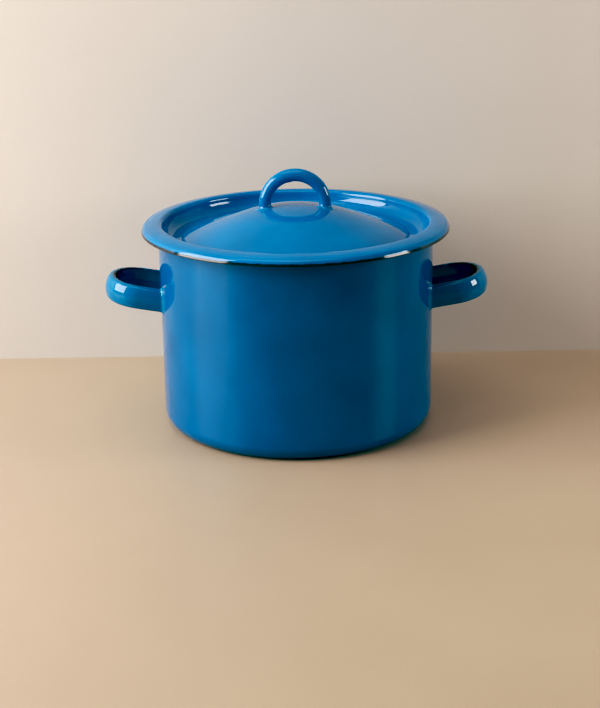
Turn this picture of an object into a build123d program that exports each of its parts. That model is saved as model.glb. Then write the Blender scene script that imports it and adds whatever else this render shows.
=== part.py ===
from build123d import *
import math
import os

# A lidded enamelled steel stock pot. Millimetres, +Z up.
# The origin is on the pot's axis, in the plane that it stands on.

# Driving dimensions
body_radius = 120.0          # outside of the straight wall
rim_height = 179.4           # standing plane to the top of the rolled rim
pot_sheet = 1.4              # steel with its enamel on both faces
base_corner_radius = 13.0    # outside, where the wall turns into the base
base_rise = 1.5              # how far the middle of the base stands off the table
rim_bead_radius = 3.0        # outside of the rolled rim's section

lid_sheet = 1.2
lid_radius = 134.4           # outside of the lid's turned-down edge
lid_crest_height = 181.0     # highest ring of the lid's flange
lid_crest_radius = 119.4
trough_height = 166.6        # top face of the sunk channel round the dome
dome_radius = 97.4           # where the dome rises out of the channel
dome_step = 1.7              # short upright step at the dome's edge
dome_slope = 19.0            # degrees, flank of the dome
cap_radius = 50.0            # where the straight flank turns into the domed cap

lid_handle_radius = 26.2     # centre line of the arch
lid_handle_bar = 10.6        # diameter of the bent bar
lid_handle_top = 225.5       # highest point of the whole pot

side_handle_reach = 169.2    # axis to the outermost point of a side handle
side_handle_width = 69.0     # across the outside of the loop
side_handle_corner = 30.0    # plan radius of the loop's two corners
side_handle_turn = 58.0      # degrees that each corner bends through; the end bends through the rest
side_handle_depth = 6.0      # section, measured from the loop's outside inwards
side_handle_tall = 20.5      # section, measured up and down
side_handle_sheet = 1.6
side_handle_height = 117.3   # middle of the section where it meets the wall
side_handle_rise = 9.5       # degrees, upward tilt of the loop
side_handle_shoulder = 2.9   # from the outermost face back to where the flanges begin
side_handle_face = 6.3       # height of the gently rounded outermost face

# Details that follow from the sheet work
rim_curl_turn = 285.0        # degrees that the rim is rolled through
flange_turn = 18.0           # degrees that the rounded flange bends through, from its crest out
skirt_bend_radius = 4.0      # middle of the sheet, where the flange turns down into its skirt
skirt_slope = 68.0           # degrees, the short skirt at the lid's edge
skirt_length = 2.3
cove_slope = 88.0            # degrees, wall between channel and flange
cove_radius = 11.0           # channel floor into the cove's wall
crest_radius = 3.2           # middle of the sheet, from the cove's wall up to the crest
step_fillet = 1.4
base_ring_radius = 98.0      # the pot stands on the ring outside this radius
base_step_run = 20.0         # radial run of the gentle step up to the raised middle
base_blend_radius = 60.0     # rounding at both ends of that step
channel_corner_radius = 3.1  # side handle's section, outer face into a flange
channel_face_radius = 15.3   # side handle's section, rounding of the outermost face
strand_overrun = 27.0        # how far a side handle's strands run on before they are trimmed


def steps_along(start, slope, run):
    """The point reached from start after a horizontal run at a slope in degrees."""
    return (start[0] + run, start[1] + run * math.tan(math.radians(slope)))


def revolved_sheet(centre_line, sheet):
    """A solid of revolution about Z: the sheet's middle line, thickened to both faces."""
    outline = offset(centre_line, amount=sheet / 2, side=Side.BOTH)
    section = make_face(outline)
    return revolve(Plane.XZ * section, axis=Axis.Z)


def bend_on(line, radius, turn):
    """The arc that goes on clockwise from the end of a line."""
    return JernArc(start=line @ 1, tangent=line % 1, radius=radius, arc_size=-turn)


def pot_vessel():
    """Deep-drawn shell with a rolled rim and a slightly raised base."""
    half = pot_sheet / 2
    wall = body_radius - half
    curl_radius = rim_bead_radius - half
    shell = FilletPolyline(
        (0, half + base_rise),
        (base_ring_radius - base_step_run, half + base_rise),
        (base_ring_radius, half),
        (wall, half),
        (wall, rim_height - rim_bead_radius),
        radius=[base_blend_radius, base_blend_radius, base_corner_radius - half],
    )
    return revolved_sheet(shell + bend_on(shell, curl_radius, rim_curl_turn), pot_sheet)


def dome_cap():
    """Height of the cap's apex and radius of its sphere, both on the middle of the sheet."""
    slope = math.radians(dome_slope)
    flank_rise = (dome_radius - cap_radius) * math.tan(slope)
    cap_rise = cap_radius * math.tan(slope / 2)
    apex = trough_height + dome_step + flank_rise + cap_rise - lid_sheet / 2
    return apex, cap_radius / math.sin(slope)


def lid_centre_line():
    """Middle of the lid's sheet, from the axis out to the edge of the skirt."""
    half = lid_sheet / 2
    floor = trough_height - half
    apex, sphere = dome_cap()
    cap_edge = (cap_radius, apex - cap_radius * math.tan(math.radians(dome_slope) / 2))
    dome_foot = steps_along(cap_edge, -dome_slope, dome_radius - cap_radius)
    cove_lean = math.radians(cove_slope)
    cove_top = (
        lid_crest_radius - crest_radius * math.sin(cove_lean),
        lid_crest_height - half - crest_radius * (1 - math.cos(cove_lean)),
    )
    cove_run = (cove_top[1] - floor) / math.tan(cove_lean)
    cap = RadiusArc((0, apex), cap_edge, sphere)
    flank = FilletPolyline(
        cap_edge,
        dome_foot,
        (dome_foot[0] + dome_step, floor),
        (cove_top[0] - cove_run, floor),
        cove_top,
        radius=[step_fillet, step_fillet, cove_radius],
    )
    crest = bend_on(flank, crest_radius, cove_slope)
    fall = math.sin(math.radians(flange_turn))
    steep = math.sin(math.radians(skirt_slope))
    skirt_run = skirt_length * math.cos(math.radians(skirt_slope))
    flange_run = lid_radius - half - skirt_run - skirt_bend_radius * (steep - fall) - lid_crest_radius
    flange = bend_on(crest, flange_run / fall, flange_turn)
    bend = bend_on(flange, skirt_bend_radius, skirt_slope - flange_turn)
    skirt = Line(bend @ 1, bend @ 1 + (bend % 1) * skirt_length)
    return cap + flank + crest + flange + bend + skirt


def lid_pan():
    """Pressed lid: dome, sunk channel, and a rounded flange that turns down into a short skirt."""
    return revolved_sheet(lid_centre_line(), lid_sheet)


def under_dome():
    """Everything below the dome's upper face, used to trim what is welded on it."""
    apex, sphere = dome_cap()
    return Pos(0, 0, apex - sphere) * Sphere(sphere + lid_sheet / 2)


def lid_handle():
    """Round bar bent into an arch, its two feet shaped to the dome."""
    springing = lid_handle_top - lid_handle_bar / 2 - lid_handle_radius
    apex, _ = dome_cap()
    foot = apex - lid_handle_bar
    left = (-lid_handle_radius, 0, springing)
    right = (lid_handle_radius, 0, springing)
    top = (0, 0, springing + lid_handle_radius)
    path = (
        Line((-lid_handle_radius, 0, foot), left)
        + ThreePointArc(left, top, right)
        + Line(right, (lid_handle_radius, 0, foot))
    )
    bar = sweep(Plane(path @ 0, z_dir=path % 0) * Circle(lid_handle_bar / 2), path=path)
    return bar - under_dome()


def side_handle_section():
    """C-shaped channel, open towards the inside of the loop, in the XY plane."""
    half = side_handle_sheet / 2
    lip = half - side_handle_depth
    edge = side_handle_tall / 2 - half
    face = side_handle_face / 2
    line = FilletPolyline(
        (lip, -edge),
        (-side_handle_shoulder, -edge),
        (-half, -face),
        (-half, face),
        (-side_handle_shoulder, edge),
        (lip, edge),
        radius=[
            channel_corner_radius,
            channel_face_radius,
            channel_face_radius,
            channel_corner_radius,
        ],
    )
    return make_face(offset(line, amount=half, side=Side.BOTH))


def side_handle_path():
    """Outer edge of the loop seen from above, from one root to the other."""
    outer = side_handle_width / 2
    root = body_radius - strand_overrun
    lean = math.radians(90 - side_handle_turn)
    end_radius = (outer - side_handle_corner * (1 - math.sin(lean))) / math.sin(lean)
    bend = side_handle_reach - end_radius + (end_radius - side_handle_corner) * math.cos(lean)
    strand = Line((root, -outer), (bend, -outer))
    corner = bend_on(strand, side_handle_corner, -side_handle_turn)
    end = bend_on(corner, end_radius, 2 * side_handle_turn - 180)
    far_corner = bend_on(end, side_handle_corner, -side_handle_turn)
    return strand + corner + end + far_corner + Line(far_corner @ 1, (root, outer))


def side_handle(side):
    """Stamped loop welded to the wall; side is +1 on +X and -1 on -X."""
    path = side_handle_path()
    start = Plane(path @ 0, x_dir=(0, -1, 0), z_dir=(1, 0, 0))
    loop = sweep(start * side_handle_section(), path=path)
    pivot = Pos(body_radius, 0, side_handle_height) * Rot(0, -side_handle_rise, 0)
    loop = pivot * Pos(-body_radius, 0, 0) * loop
    loop -= Cylinder(body_radius, 2 * lid_handle_top)
    return loop if side > 0 else Rot(0, 0, 180) * loop


os.makedirs("parts", exist_ok=True)
pieces = {
    "pot_vessel": pot_vessel(),
    "side_handle_right": side_handle(1),
    "side_handle_left": side_handle(-1),
    "lid_pan": lid_pan(),
    "lid_handle": lid_handle(),
}
for name, piece in pieces.items():
    export_step(piece, f"parts/{name}.step")
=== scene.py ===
import math

import bmesh
import bpy
from mathutils import Matrix, Vector, noise


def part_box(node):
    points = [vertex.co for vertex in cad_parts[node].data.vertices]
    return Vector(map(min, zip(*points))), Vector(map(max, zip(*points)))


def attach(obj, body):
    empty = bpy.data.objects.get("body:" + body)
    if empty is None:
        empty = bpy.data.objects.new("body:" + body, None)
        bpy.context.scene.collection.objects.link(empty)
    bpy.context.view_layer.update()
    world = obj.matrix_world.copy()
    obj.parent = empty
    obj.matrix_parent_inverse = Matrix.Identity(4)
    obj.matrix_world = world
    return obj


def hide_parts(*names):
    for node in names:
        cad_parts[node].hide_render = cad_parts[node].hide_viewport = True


# A lidded enamelled steel stock pot, dressed around its CAD frame.
# Metres, +Z up. The pot's axis is Z, and its side handles lie along X.

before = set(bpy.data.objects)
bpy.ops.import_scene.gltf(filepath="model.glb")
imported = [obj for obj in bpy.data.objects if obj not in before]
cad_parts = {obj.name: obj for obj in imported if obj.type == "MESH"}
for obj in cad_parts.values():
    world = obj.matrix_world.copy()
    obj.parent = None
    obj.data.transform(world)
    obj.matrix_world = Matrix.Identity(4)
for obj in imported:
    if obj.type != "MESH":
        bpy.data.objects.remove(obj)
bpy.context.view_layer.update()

MM = 0.001

# ---------------------------------------------------------------- sizes from the frame

rim_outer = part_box("pot_vessel")[1].x
rim_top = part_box("pot_vessel")[1].z
pot_sheet = 1.4 * MM
bead_radius = 3.0 * MM                       # outside of the rolled rim's section
body_radius = rim_outer - 2 * bead_radius + pot_sheet
base_corner = 13.0 * MM
base_rise = 1.5 * MM
base_ring_radius = body_radius - 22.0 * MM   # the pot stands on the ring outside this radius
base_step_run = 20.0 * MM                    # gentle step up to the raised middle of the base
base_blend = 60.0 * MM                       # rounding at both ends of that step
rim_turn = math.radians(285.0)               # the rim is rolled outwards through this angle
rim_black_turn = math.radians(205.0)         # part of that roll which the blue coat leaves bare
base_black_radius = body_radius - 11.5 * MM  # the blue coat stops here under the foot

lid_low, lid_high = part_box("lid_pan")
lid_sheet = 1.2 * MM
lid_radius = lid_high.x
crest_height = rim_top + 1.6 * MM
crest_ring = body_radius - 0.6 * MM          # radius of the flange's highest ring
crest_radius = 3.2 * MM                      # middle of the sheet, cove's wall into the crest
cap_radius = 50.0 * MM
dome_radius = body_radius - 22.6 * MM
dome_step_run = 1.7 * MM
step_fillet = 1.4 * MM                       # middle of the sheet, both ends of that short step
dome_slope = math.radians(19.0)
cove_slope = math.radians(88.0)              # wall between the channel and the flange
cove_radius = 11.0 * MM                      # channel floor into that wall
flange_turn = math.radians(18.0)             # bend of the rounded flange, from the crest out
skirt_bend = 4.0 * MM                        # middle of the sheet, flange into its short skirt
skirt_slope = math.radians(68.0)
skirt_length = 2.3 * MM
black_lip = 1.4 * MM                         # bare strip at the skirt's edge

arch_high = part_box("lid_handle")[1]
arch_bar = arch_high.y                       # radius of the bent bar

loop_half_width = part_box("side_handle_right")[1].y
loop_reach = 169.19 * MM                     # before the loop is tilted
loop_corner = 30.0 * MM                      # plan radius of the loop's two corners
loop_turn = math.radians(58.0)               # bend of each corner
loop_depth = 6.0 * MM
loop_tall = 20.5 * MM
loop_shoulder = 2.9 * MM                     # from the outermost face back to the flanges
loop_face = 6.3 * MM                         # height of the gently rounded outermost face
loop_face_radius = 15.3 * MM
loop_flange_radius = 3.1 * MM                # outer face into a flange
loop_sheet = 1.6 * MM
loop_height = 117.3 * MM
loop_tilt = math.radians(9.5)

SUNK = 0.3 * MM                              # how far a welded foot reaches into its neighbour
LATHE_STEPS = 256


# ---------------------------------------------------------------- outlines

class Track:
    """A plane curve as points with unit directions, and the length run so far."""

    def __init__(self, start, heading):
        self.at = Vector(start)
        self.heading = heading
        self.stations = [(self.at.copy(), heading, 0.0)]

    def _add(self, at, heading, run):
        self.stations.append((at.copy(), heading, self.stations[-1][2] + run))
        self.at = at
        self.heading = heading

    def straight(self, length, step=6 * MM):
        count = max(1, round(length / step))
        ahead = Vector((math.cos(self.heading), math.sin(self.heading)))
        start = self.at.copy()
        for i in range(1, count + 1):
            self._add(start + ahead * (length * i / count), self.heading, length / count)

    def turn(self, radius, angle, step=math.radians(6)):
        """An arc that turns left for a positive angle and right for a negative one."""
        count = max(2, math.ceil(abs(angle) / step))
        side = math.copysign(1, angle)
        centre = self.at + side * radius * Vector((-math.sin(self.heading), math.cos(self.heading)))
        start = self.heading
        for i in range(1, count + 1):
            heading = start + angle * i / count
            arm = side * radius * Vector((math.sin(heading), -math.cos(heading)))
            self._add(centre + arm, heading, abs(angle) * radius / count)

    def to(self, corners, radii):
        """Straight runs from here through the corners, each rounded to its radius; ends at the last."""
        points = [self.at.copy()] + [Vector(c) for c in corners]
        for i in range(1, len(points)):
            run = points[i] - points[i - 1]
            heading = math.atan2(run.y, run.x)
            if i < len(points) - 1:
                after = points[i + 1] - points[i]
                bend = math.atan2(after.y, after.x) - heading
                setback = radii[i - 1] * math.tan(abs(bend) / 2)
            else:
                bend, setback = 0.0, 0.0
            self.heading = heading
            length = (points[i] - self.at).length - setback
            if length > 1e-7:
                self.straight(length)
            if bend:
                self.turn(radii[i - 1], bend)


def sheet_outline(track, sheet, left_coat, right_coat, closed_at_start=False):
    """Closed outline of a sheet whose middle line is the track, as (x, y, coat) points.

    left_coat and right_coat give, from the length run, how far a point lies inside the
    bare ground coat, in millimetres; a negative number is inside the blue cover coat.
    """
    half = sheet / 2

    def face(side, coat):
        points = []
        for at, heading, run in track.stations:
            out = Vector((math.sin(heading), -math.cos(heading))) * side * half
            points.append((at.x + out.x, at.y + out.y, coat(run)))
        return points

    def cap(station, first, coat):
        at, heading, _ = station
        points = []
        for i in range(1, 6):
            angle = heading + first + math.pi * i / 6
            points.append((at.x + half * math.cos(angle), at.y + half * math.sin(angle), coat))
        return points

    right = face(1, right_coat)
    left = face(-1, left_coat)
    outline = right + cap(track.stations[-1], -math.pi / 2, right[-1][2]) + left[::-1]
    if closed_at_start:
        outline += cap(track.stations[0], math.pi / 2, left[0][2])
    return outline


# ---------------------------------------------------------------- meshes

def make_piece(name, vertices, faces, coats, body, node):
    """A smooth mesh object with its coat attribute, which stands for a CAD node."""
    mesh = bpy.data.meshes.new(name)
    mesh.from_pydata(vertices, [], faces)
    shell = bmesh.new()
    shell.from_mesh(mesh)
    bmesh.ops.recalc_face_normals(shell, faces=shell.faces)
    shell.to_mesh(mesh)
    shell.free()
    for polygon in mesh.polygons:
        polygon.use_smooth = True
    attribute = mesh.attributes.new("bare", "FLOAT", "POINT")
    attribute.data.foreach_set("value", coats)
    piece = bpy.data.objects.new(name, mesh)
    bpy.context.scene.collection.objects.link(piece)
    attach(piece, body)
    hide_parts(node)
    return piece


def lathe(outline):
    """Turns an outline that starts and ends on the axis about Z. Returns vertices, faces, coats."""
    vertices, faces, coats = [], [], []
    rings = []
    for radius, height, coat in outline:
        first = len(vertices)
        if radius < 1e-6:
            vertices.append((0.0, 0.0, height))
            coats.append(coat)
            rings.append([first] * LATHE_STEPS)
            continue
        for i in range(LATHE_STEPS):
            angle = 2 * math.pi * i / LATHE_STEPS
            vertices.append((radius * math.cos(angle), radius * math.sin(angle), height))
            coats.append(coat)
        rings.append(list(range(first, first + LATHE_STEPS)))
    for lower, upper in zip(rings, rings[1:]):
        for i in range(LATHE_STEPS):
            j = (i + 1) % LATHE_STEPS
            corners = [lower[i], lower[j], upper[j], upper[i]]
            face = list(dict.fromkeys(corners))
            if len(face) > 2:
                faces.append(face)
    return vertices, faces, coats


def skin(rings):
    """Joins closed rings of equal length one after another and closes both ends.

    A ring is a list of (x, y, z, coat) points. Returns vertices, faces, coats.
    """
    size = len(rings[0])
    vertices = [point[:3] for ring in rings for point in ring]
    coats = [point[3] for ring in rings for point in ring]
    faces = [tuple(range(size)), tuple(range(len(vertices) - size, len(vertices)))]
    for k in range(0, len(vertices) - size, size):
        for i in range(size):
            j = (i + 1) % size
            faces.append((k + i, k + j, k + size + j, k + size + i))
    return vertices, faces, coats


def fillet_spread(distance, radius):
    """How far a weld fillet spreads sideways at a distance from the surface it runs out on."""
    if distance >= radius:
        return 0.0
    rest = radius - max(distance, 0.0)
    return radius - math.sqrt(radius * radius - rest * rest)


# ---------------------------------------------------------------- pieces

COVERED = -20.0                              # well inside the blue coat, in millimetres
BARE = 20.0                                  # well inside the black ground coat
INSIDE = -3.0                                # blue too, but on the inside of a side handle's channel


def coat_from(edge):
    """Ground coat beyond a length along the track, blue before it."""
    return lambda run: (run - edge) / MM


def coat_until(edge):
    """Ground coat up to a length along the track, blue beyond it."""
    return lambda run: (edge - run) / MM


def pot_vessel():
    """Shell with a slightly raised base and a rim rolled outwards over a bead."""
    half = pot_sheet / 2
    wall = body_radius - half
    track = Track((0, half + base_rise), 0.0)
    track.to(
        [
            (base_ring_radius - base_step_run, half + base_rise),
            (base_ring_radius, half),
            (wall, half),
            (wall, rim_top - bead_radius),
        ],
        [base_blend, base_blend, base_corner - half],
    )
    curl = bead_radius - half
    cover_edge = track.stations[-1][2] + curl * rim_black_turn
    track.turn(curl, -rim_turn)
    outside = coat_until(base_black_radius)
    outline = sheet_outline(track, pot_sheet, coat_until(cover_edge), outside)
    vertices, faces, coats = lathe(outline)
    return make_piece("enamelled_pot", vertices, faces, coats, "pot", "pot_vessel")


def lid_pan():
    """Pressed lid: dome, short step, sunk channel, cove, rounded flange and turned-down skirt."""
    half = lid_sheet / 2
    floor = lid_low.z + half
    sphere = cap_radius / math.sin(dome_slope)
    track = Track((0, lid_high.z - half), 0.0)
    track.turn(sphere, -dome_slope, math.radians(1))
    flank = dome_radius - cap_radius
    foot = track.at + Vector((flank, -flank * math.tan(dome_slope)))
    crest = Vector((crest_ring, crest_height - half))
    cove_top = crest - crest_radius * Vector((math.sin(cove_slope), 1 - math.cos(cove_slope)))
    cove_run = (cove_top.y - floor) / math.tan(cove_slope)
    track.to(
        [foot, (foot.x + dome_step_run, floor), (cove_top.x - cove_run, floor), cove_top],
        [step_fillet, step_fillet, cove_radius],
    )
    track.turn(crest_radius, -cove_slope)
    fall = math.sin(flange_turn)
    skirt_run = skirt_length * math.cos(skirt_slope)
    bend_run = skirt_bend * (math.sin(skirt_slope) - fall)
    flange_run = lid_radius - half - skirt_run - bend_run - crest_ring
    track.turn(flange_run / fall, -flange_turn, math.radians(2))
    track.turn(skirt_bend, flange_turn - skirt_slope)
    track.straight(skirt_length, 0.6 * MM)
    cover_edge = track.stations[-1][2] - black_lip
    outline = sheet_outline(track, lid_sheet, coat_from(cover_edge), lambda run: BARE)
    vertices, faces, coats = lathe(outline)
    return make_piece("enamelled_lid", vertices, faces, coats, "lid", "lid_pan")


def lid_handle():
    """Bent bar on the dome: a little thicker over the top, with enamel filleted round its feet."""
    springing = arch_high.z - arch_high.x
    sphere = cap_radius / math.sin(dome_slope) + lid_sheet / 2
    sphere_centre = lid_high.z - sphere
    thickening = 0.3 * MM
    fillet = 3.4 * MM
    sides = 56
    # A firing mark under the top of the arch: a small burr with a bare spot.
    mark = Vector((-0.16 * arch_high.x, -0.3 * arch_bar, arch_high.z - 1.85 * arch_bar))
    burr_spread = 2.2
    burr_grain = 1.3
    burr_down = Vector((0, -0.35, -1.0))
    bare_spot = 0.5

    def dome_height(x, y):
        return sphere_centre + math.sqrt(sphere * sphere - x * x - y * y)

    def ring(angle, part_way):
        """Ring of the arch at an angle, or of a leg, part_way from the dome to the springing."""
        bar = arch_bar + thickening * math.sin(angle) ** 2
        middle = arch_high.x - bar
        points = []
        for i in range(sides):
            turn = 2 * math.pi * i / sides
            outward, across = math.cos(turn), math.sin(turn)

            def place(size):
                reach = middle + size * outward
                x = reach * math.cos(angle)
                y = size * across
                z = springing + reach * math.sin(angle)
                base = dome_height(x, y)
                if part_way < 0:
                    return Vector((x, y, base - SUNK)), 0.0
                if part_way < 1:
                    z = base + (springing - base) * part_way
                return Vector((x, y, z)), z - base

            at, above = place(bar)
            at, _ = place(bar + fillet_spread(above, fillet))
            near = (at - mark).length / MM
            burr = math.exp(-((near / burr_spread) ** 2)) * (0.5 + noise.noise(at / MM * burr_grain))
            at += burr_down * burr * MM
            points.append((at.x, at.y, at.z, max(COVERED, bare_spot - near)))
        return points

    arch_steps = 180
    leg_steps = 10
    ways = [-1.0] + [(k / leg_steps) ** 1.5 for k in range(leg_steps)]
    rings = [ring(math.pi, way) for way in ways]
    rings += [ring(math.pi * (1 - k / arch_steps), 1.0) for k in range(arch_steps + 1)]
    rings += [ring(0.0, way) for way in reversed(ways)]
    vertices, faces, coats = skin(rings)
    name = "enamelled_lid_handle"
    return make_piece(name, vertices, faces, coats, "lid", "lid_handle")


def channel_section():
    """C-shaped section of a side handle: x runs out of the loop from its outermost face, y up."""
    half = loop_sheet / 2
    lip = half - loop_depth
    edge = loop_tall / 2 - half
    face = loop_face / 2
    back = -loop_shoulder
    track = Track((lip, -edge), 0.0)
    track.to(
        [(back, -edge), (-half, -face), (-half, face), (back, edge), (lip, edge)],
        [loop_flange_radius, loop_face_radius, loop_face_radius, loop_flange_radius],
    )
    whole = track.stations[-1][2]
    cover_past_lip = 0.4

    def from_lip(run):
        return -min(run, whole - run) / MM - cover_past_lip

    return sheet_outline(track, loop_sheet, lambda run: INSIDE, from_lip, closed_at_start=True)


def outward_normals(outline):
    """Unit normals of a closed outline that runs anticlockwise."""
    normals = []
    for i in range(len(outline)):
        before, after = outline[i - 1], outline[(i + 1) % len(outline)]
        along = Vector((after[0] - before[0], after[1] - before[1])).normalized()
        normals.append((along.y, -along.x))
    return normals


def side_handle(side):
    """Loop of C-shaped channel, open inwards, with enamel filleted round its two welds."""
    outline = channel_section()
    normals = outward_normals(outline)
    lean = math.pi / 2 - loop_turn
    end_radius = (loop_half_width - loop_corner * (1 - math.sin(lean))) / math.sin(lean)
    end_centre = loop_reach - end_radius
    bend = end_centre + (end_radius - loop_corner) * math.cos(lean)
    fillet = 3.2 * MM
    rise, level = math.sin(loop_tilt), math.cos(loop_tilt)
    lip_depth = 1.8 * MM
    lip_burnt, inside_painted_shade = 1.2, 3.4           # how much less blue the bend carries: a ragged, burnt lip, and painted shade inside the channel

    def wall_at(y, z):
        """Where a line along the strand meets the pot's wall."""
        return body_radius + (math.sqrt(body_radius ** 2 - y * y) - body_radius + z * rise) / level

    def tilted(x, y, z):
        out = x - body_radius
        return Vector((body_radius + out * level - z * rise, y, loop_height + out * rise + z * level))

    def strand_ring(hand, part_way):
        """Ring of a straight strand; hand is -1 or +1, its side of the loop."""
        points = []
        for (out, up, coat), (nx, ny) in zip(outline, normals):
            y = hand * (loop_half_width + out)
            wall = wall_at(y, up)
            spread = fillet_spread((bend - wall) * part_way, fillet)
            y = hand * (loop_half_width + out + nx * spread)
            z = up + ny * spread
            wall = wall_at(y, z)
            x = wall + (bend - wall) * part_way if part_way >= 0 else wall - SUNK
            at = tilted(x, y, z)
            points.append((at.x, at.y, at.z, coat))
        return points

    def bend_ring(centre_x, centre_y, radius, angle):
        """Ring of the bend. Pressing it round has gathered a deeper, ragged lip. Inside the channel the
        blue goes dark towards black there as painted shade.
        """
        gathered = max(0.0, math.cos(angle)) ** 0.7
        points = []
        for out, up, coat in outline:
            along_lip = Vector((angle * 9.0, math.copysign(3.0, up), side * 5.0))
            ragged = 1.7 + 1.3 * noise.noise(along_lip) + 0.7 * noise.noise(along_lip * 3.1)
            near_lip = min(1.0, max(0.0, (-out - loop_depth + lip_depth) / lip_depth))
            reach = radius + out - near_lip * gathered * ragged * MM
            x = centre_x + reach * math.cos(angle)
            y = centre_y + reach * math.sin(angle)
            at = tilted(x, y, up)
            # The lip goes thin and ragged where the enamel burnt; the channel's inside darkens as
            # painted shade in the bend's recess.
            burn_and_shade = inside_painted_shade if coat == INSIDE else lip_burnt * near_lip
            points.append((at.x, at.y, at.z, coat + gathered * burn_and_shade))
        return points

    strand_steps = 22
    corner_steps = 24
    end_steps = 26
    corner_y = loop_half_width - loop_corner
    ways = [-1.0] + [(k / strand_steps) ** 1.8 for k in range(strand_steps)]
    turns = [loop_turn * k / corner_steps - math.pi / 2 for k in range(corner_steps)]
    sweep = [2 * lean * k / end_steps - lean for k in range(end_steps + 1)]
    rings = [strand_ring(-1, way) for way in ways]
    rings += [bend_ring(bend, -corner_y, loop_corner, turn) for turn in turns]
    rings += [bend_ring(end_centre, 0.0, end_radius, turn) for turn in sweep]
    rings += [bend_ring(bend, corner_y, loop_corner, -turn) for turn in reversed(turns)]
    rings += [strand_ring(1, way) for way in reversed(ways)]
    if side < 0:
        rings = [[(-x, -y, z, coat) for x, y, z, coat in ring] for ring in rings]
    vertices, faces, coats = skin(rings)
    end = "right" if side > 0 else "left"
    name = f"enamelled_handle_{end}"
    node = f"side_handle_{end}"
    return make_piece(name, vertices, faces, coats, "pot", node)


# ---------------------------------------------------------------- materials

def add_node(tree, kind, inputs=None, **settings):
    """A shader node with its settings; an input is a value or another node's socket."""
    node = tree.nodes.new(kind)
    for key, value in settings.items():
        setattr(node, key, value)
    for key, value in (inputs or {}).items():
        if isinstance(value, bpy.types.NodeSocket):
            tree.links.new(value, node.inputs[key])
        else:
            node.inputs[key].default_value = value
    return node


def new_material(name):
    material = bpy.data.materials.new(name)
    material.use_nodes = True
    tree = material.node_tree
    tree.nodes.clear()
    output = add_node(tree, "ShaderNodeOutputMaterial")
    return material, tree, output


def noise_value(tree, coordinates, scale, detail=2.0):
    """A noise between about 0.2 and 0.8; scale is in cycles per metre."""
    inputs = {"Vector": coordinates, "Scale": scale, "Detail": detail}
    return add_node(tree, "ShaderNodeTexNoise", inputs).outputs["Fac"]


def remap(tree, value, low, high, to_low, to_high):
    inputs = {
        "Value": value,
        "From Min": low,
        "From Max": high,
        "To Min": to_low,
        "To Max": to_high,
    }
    return add_node(tree, "ShaderNodeMapRange", inputs, clamp=True).outputs["Result"]


def calculate(tree, operation, first, second):
    return add_node(tree, "ShaderNodeMath", {0: first, 1: second}, operation=operation).outputs[0]


def mix_colour(tree, factor, first, second):
    inputs = {"Factor": factor, "A": first, "B": second}
    return add_node(tree, "ShaderNodeMix", inputs, data_type="RGBA").outputs["Result"]


GROUND_COAT = (0.026, 0.026, 0.029, 1.0)
GROUND_FLECK = (0.2, 0.2, 0.21, 1.0)
PINHOLE = (0.004, 0.006, 0.012, 1.0)
BURNT_EDGE = (0.012, 0.016, 0.026, 1.0)      # blue gone thin over the black


def enamel(name, blue, ripple):
    """Glossy blue cover coat over a black ground coat, with a ragged, thin-burnt edge between.

    blue is the cover coat's colour; ripple is the height of its slow waviness in millimetres.
    """
    material, tree, output = new_material(name)
    place = add_node(tree, "ShaderNodeTexCoord").outputs["Object"]

    # The cover coat's depth of colour drifts slowly, with a finer mottle from the spraying.
    drift = noise_value(tree, place, 22.0, 3.0)
    mottle = noise_value(tree, place, 700.0)
    shade = [0.86 * c for c in blue] + [1.0]
    bright = [min(1.0, 1.10 * c) for c in blue] + [1.0]
    depth = calculate(tree, "ADD", drift, calculate(tree, "MULTIPLY", mottle, 0.35))
    cover = mix_colour(tree, remap(tree, depth, 0.45, 0.9, 0.0, 1.0), shade, bright)

    # A few pinholes show the ground coat through the blue.
    cells = add_node(tree, "ShaderNodeTexVoronoi", {"Vector": place, "Scale": 55.0})
    chosen = remap(tree, cells.outputs["Color"], 0.62, 0.63, 0.0, 1.0)
    dot = remap(tree, cells.outputs["Distance"], 0.010, 0.018, 1.0, 0.0)
    pinhole = calculate(tree, "MULTIPLY", chosen, dot)
    cover = mix_colour(tree, pinhole, cover, PINHOLE)

    # The bare attribute is the distance inside the ground coat in millimetres.
    bare = add_node(tree, "ShaderNodeAttribute", attribute_name="bare").outputs["Fac"]
    ragged = remap(tree, noise_value(tree, place, 260.0, 4.0), 0.2, 0.8, -0.55, 0.55)
    edge = calculate(tree, "ADD", bare, ragged)
    thin = remap(tree, edge, -0.55, 0.0, 0.0, 0.75)
    cover = mix_colour(tree, thin, cover, BURNT_EDGE)
    grain = noise_value(tree, place, 1600.0, 1.0)
    flecks = remap(tree, grain, 0.70, 0.74, 0.0, 0.35)
    ground = mix_colour(tree, flecks, GROUND_COAT, GROUND_FLECK)
    ground_mask = remap(tree, edge, -0.06, 0.06, 0.0, 1.0)
    colour = mix_colour(tree, ground_mask, cover, ground)

    # Heights are in millimetres: slow waviness, orange peel, pinhole dimples, the coat's step.
    wave = calculate(tree, "MULTIPLY", noise_value(tree, place, 38.0, 1.0), ripple)
    peel = calculate(tree, "MULTIPLY", noise_value(tree, place, 330.0), 0.006)
    height = calculate(tree, "ADD", wave, peel)
    height = calculate(tree, "SUBTRACT", height, calculate(tree, "MULTIPLY", pinhole, 0.03))
    height = calculate(tree, "SUBTRACT", height, calculate(tree, "MULTIPLY", ground_mask, 0.05))
    inputs = {"Height": height, "Strength": 1.0, "Distance": MM}
    normal = add_node(tree, "ShaderNodeBump", inputs).outputs["Normal"]

    smear = remap(tree, noise_value(tree, place, 60.0, 4.0), 0.35, 0.75, 0.035, 0.08)
    roughness = calculate(tree, "ADD", smear, calculate(tree, "MULTIPLY", ground_mask, 0.04))
    inputs = {"Base Color": colour, "Roughness": roughness, "Normal": normal, "IOR": 1.5}
    shader = add_node(tree, "ShaderNodeBsdfPrincipled", inputs)
    tree.links.new(shader.outputs[0], output.inputs["Surface"])
    return material


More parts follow.
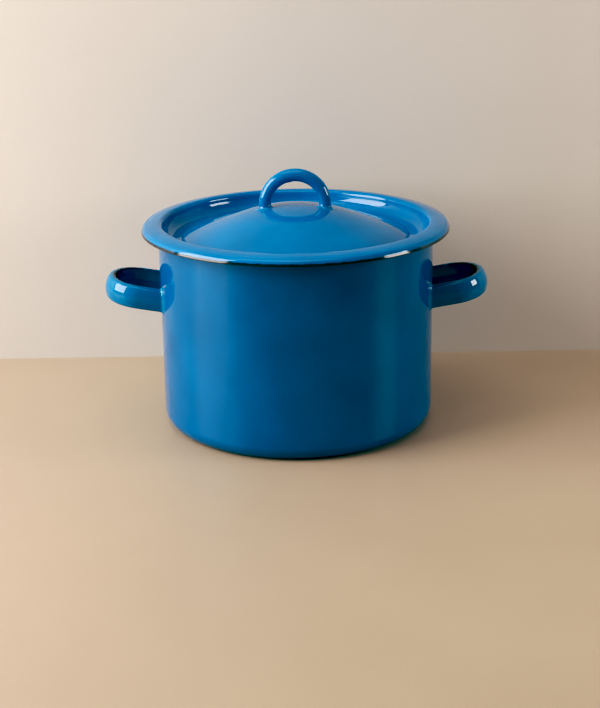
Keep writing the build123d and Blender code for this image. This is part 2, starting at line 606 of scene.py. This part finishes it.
def matt_paper(name, pale, dark, roughness, see_through_back=False):
    """Plain pale stage surface with a faint fibre; it can be left out when seen from behind."""
    material, tree, output = new_material(name)
    place = add_node(tree, "ShaderNodeTexCoord").outputs["Object"]
    fibre = noise_value(tree, place, 900.0, 4.0)
    cloud = noise_value(tree, place, 6.0, 2.0)
    blend = remap(tree, calculate(tree, "ADD", fibre, cloud), 0.7, 1.3, 0.0, 1.0)
    colour = mix_colour(tree, blend, dark, pale)
    bump = {"Height": fibre, "Strength": 0.25, "Distance": 0.3 * MM}
    inputs = {
        "Base Color": colour,
        "Roughness": roughness,
        "Normal": add_node(tree, "ShaderNodeBump", bump).outputs["Normal"],
    }
    shader = add_node(tree, "ShaderNodeBsdfPrincipled", inputs).outputs[0]
    if see_through_back:
        back = add_node(tree, "ShaderNodeNewGeometry").outputs["Backfacing"]
        clear = add_node(tree, "ShaderNodeBsdfTransparent").outputs[0]
        shader = add_node(tree, "ShaderNodeMixShader", {0: back, 1: shader, 2: clear}).outputs[0]
    tree.links.new(shader, output.inputs["Surface"])
    return material


# ---------------------------------------------------------------- stage, light and camera

def flat_sheet(name, corners, material):
    mesh = bpy.data.meshes.new(name)
    mesh.from_pydata(corners, [], [tuple(range(len(corners)))])
    sheet = bpy.data.objects.new(name, mesh)
    bpy.context.scene.collection.objects.link(sheet)
    mesh.materials.append(material)


def softbox(name, azimuth, elevation, distance, width, height, power, colour, aim):
    """Area light; azimuth 0 is straight in front of the pot, on the camera's side, +90 is at +X."""
    turn, lift = math.radians(azimuth), math.radians(elevation)
    away = Vector((
        math.cos(lift) * math.sin(turn),
        -math.cos(lift) * math.cos(turn),
        math.sin(lift),
    ))
    light = bpy.data.lights.new(name, "AREA")
    light.shape = "RECTANGLE"
    light.size = width
    light.size_y = height
    light.energy = power
    light.color = colour
    lamp = bpy.data.objects.new(name, light)
    bpy.context.scene.collection.objects.link(lamp)
    lamp.location = aim + away * distance
    lamp.rotation_euler = away.to_track_quat("Z", "Y").to_euler()


def place_camera(distance, aside, height, pitch, turn, roll, lens):
    """Camera on the pot's front side, level with height, looking down by pitch."""
    ahead = Vector((math.sin(turn), math.cos(turn), 0.0))
    right = Vector((math.cos(turn), -math.sin(turn), 0.0))
    forward = ahead * math.cos(pitch) - Vector((0, 0, math.sin(pitch)))
    up = ahead * math.sin(pitch) + Vector((0, 0, math.cos(pitch)))
    side = right * math.cos(roll) - up * math.sin(roll)
    top = right * math.sin(roll) + up * math.cos(roll)
    data = bpy.data.cameras.new("camera")
    data.lens = lens
    data.sensor_width = 36.0
    camera = bpy.data.objects.new("camera", data)
    bpy.context.scene.collection.objects.link(camera)
    rotation = Matrix((side, top, -forward)).transposed().to_4x4()
    camera.matrix_world = Matrix.Translation((aside, -distance, height)) @ rotation
    bpy.context.scene.camera = camera


def tone_curve(curve, points):
    """Straight runs through (given, shown) points, from black to white."""
    for given, shown in points:
        curve.points.new(given, shown)
    for point in curve.points:
        point.handle_type = "VECTOR"


pot = pot_vessel()
lid = lid_pan()
arch = lid_handle()
handles = [side_handle(1), side_handle(-1)]

pot.data.materials.append(enamel("pot_enamel", (0.0, 0.117, 0.295), 0.05))
# Painted light: the lid and its handle get a lighter blue than the pot, standing in for the light from
# above that falls on the lid. The enamel is one blue all over.
lid.data.materials.append(enamel("lid_enamel", (0.0, 0.157, 0.375), 0.03))
arch.data.materials.append(enamel("lid_handle_enamel", (0.0, 0.16, 0.37), 0.02))
handle_enamel = enamel("handle_enamel", (0.0, 0.15, 0.33), 0.02)
for handle in handles:
    handle.data.materials.append(handle_enamel)

stage_reach = 3.0
wall_height = 2.2
wall_gap = 48 * MM                           # from the pot's wall to the backdrop
wall_y = body_radius + wall_gap
floor_paper = matt_paper(
    "floor_paper",
    pale=(0.43, 0.345, 0.265, 1),
    dark=(0.40, 0.32, 0.245, 1),
    roughness=0.45,
)
wall_paper = matt_paper(
    "wall_paper",
    pale=(0.61, 0.575, 0.54, 1),
    dark=(0.58, 0.55, 0.515, 1),
    roughness=0.6,
    see_through_back=True,
)
flat_sheet(
    "floor",
    [
        (-stage_reach, -stage_reach, 0),
        (stage_reach, -stage_reach, 0),
        (stage_reach, stage_reach, 0),
        (-stage_reach, stage_reach, 0),
    ],
    floor_paper,
)
flat_sheet(
    "backdrop",
    [
        (-stage_reach, wall_y, 0),
        (stage_reach, wall_y, 0),
        (stage_reach, wall_y, wall_height),
        (-stage_reach, wall_y, wall_height),
    ],
    wall_paper,
)

pot_middle = Vector((0, 0, rim_top / 2))
softbox(
    "key_light",
    azimuth=-72,
    elevation=25,
    distance=1.5,
    width=1.05,
    height=1.15,
    power=39.0,
    colour=(1.0, 0.97, 0.93),
    aim=pot_middle,
)
softbox(
    "side_light",
    azimuth=76,
    elevation=16,
    distance=1.3,
    width=0.44,
    height=0.38,
    power=6.5,
    colour=(1.0, 0.96, 0.93),
    aim=pot_middle,
)
softbox(
    "top_light",
    azimuth=-30,
    elevation=78,
    distance=1.7,
    width=1.3,
    height=1.3,
    power=10.0,
    colour=(1.0, 0.95, 0.88),
    aim=pot_middle,
)

world = bpy.data.worlds.new("studio")
world.use_nodes = True
surroundings = world.node_tree.nodes["Background"]
surroundings.inputs["Color"].default_value = (1.0, 0.78, 0.62, 1)
surroundings.inputs["Strength"].default_value = 0.2
bpy.context.scene.world = world

# The contrast curve deepens dark tones. The cover coat's blue is purer than a display can show
# and holds no red of its own, so the little red that its dark parts reflect is held down too.
view = bpy.context.scene.view_settings
view.view_transform = "Standard"
view.use_curve_mapping = True
red_curve, contrast_curve = view.curve_mapping.curves[0], view.curve_mapping.curves[3]
tone_curve(red_curve, ((0.05, 0.0), (0.12, 0.09), (0.2, 0.2)))
tone_curve(
    contrast_curve,
    ((0.02, 0.0), (0.065, 0.024), (0.12, 0.066), (0.2, 0.145), (0.3, 0.26), (0.45, 0.44)),
)
view.curve_mapping.update()

place_camera(
    distance=1.3112,
    aside=0.0003,
    height=0.4948,
    pitch=math.radians(18.49),
    turn=math.radians(0.086),
    roll=math.radians(0.86),
    lens=78.2,
)
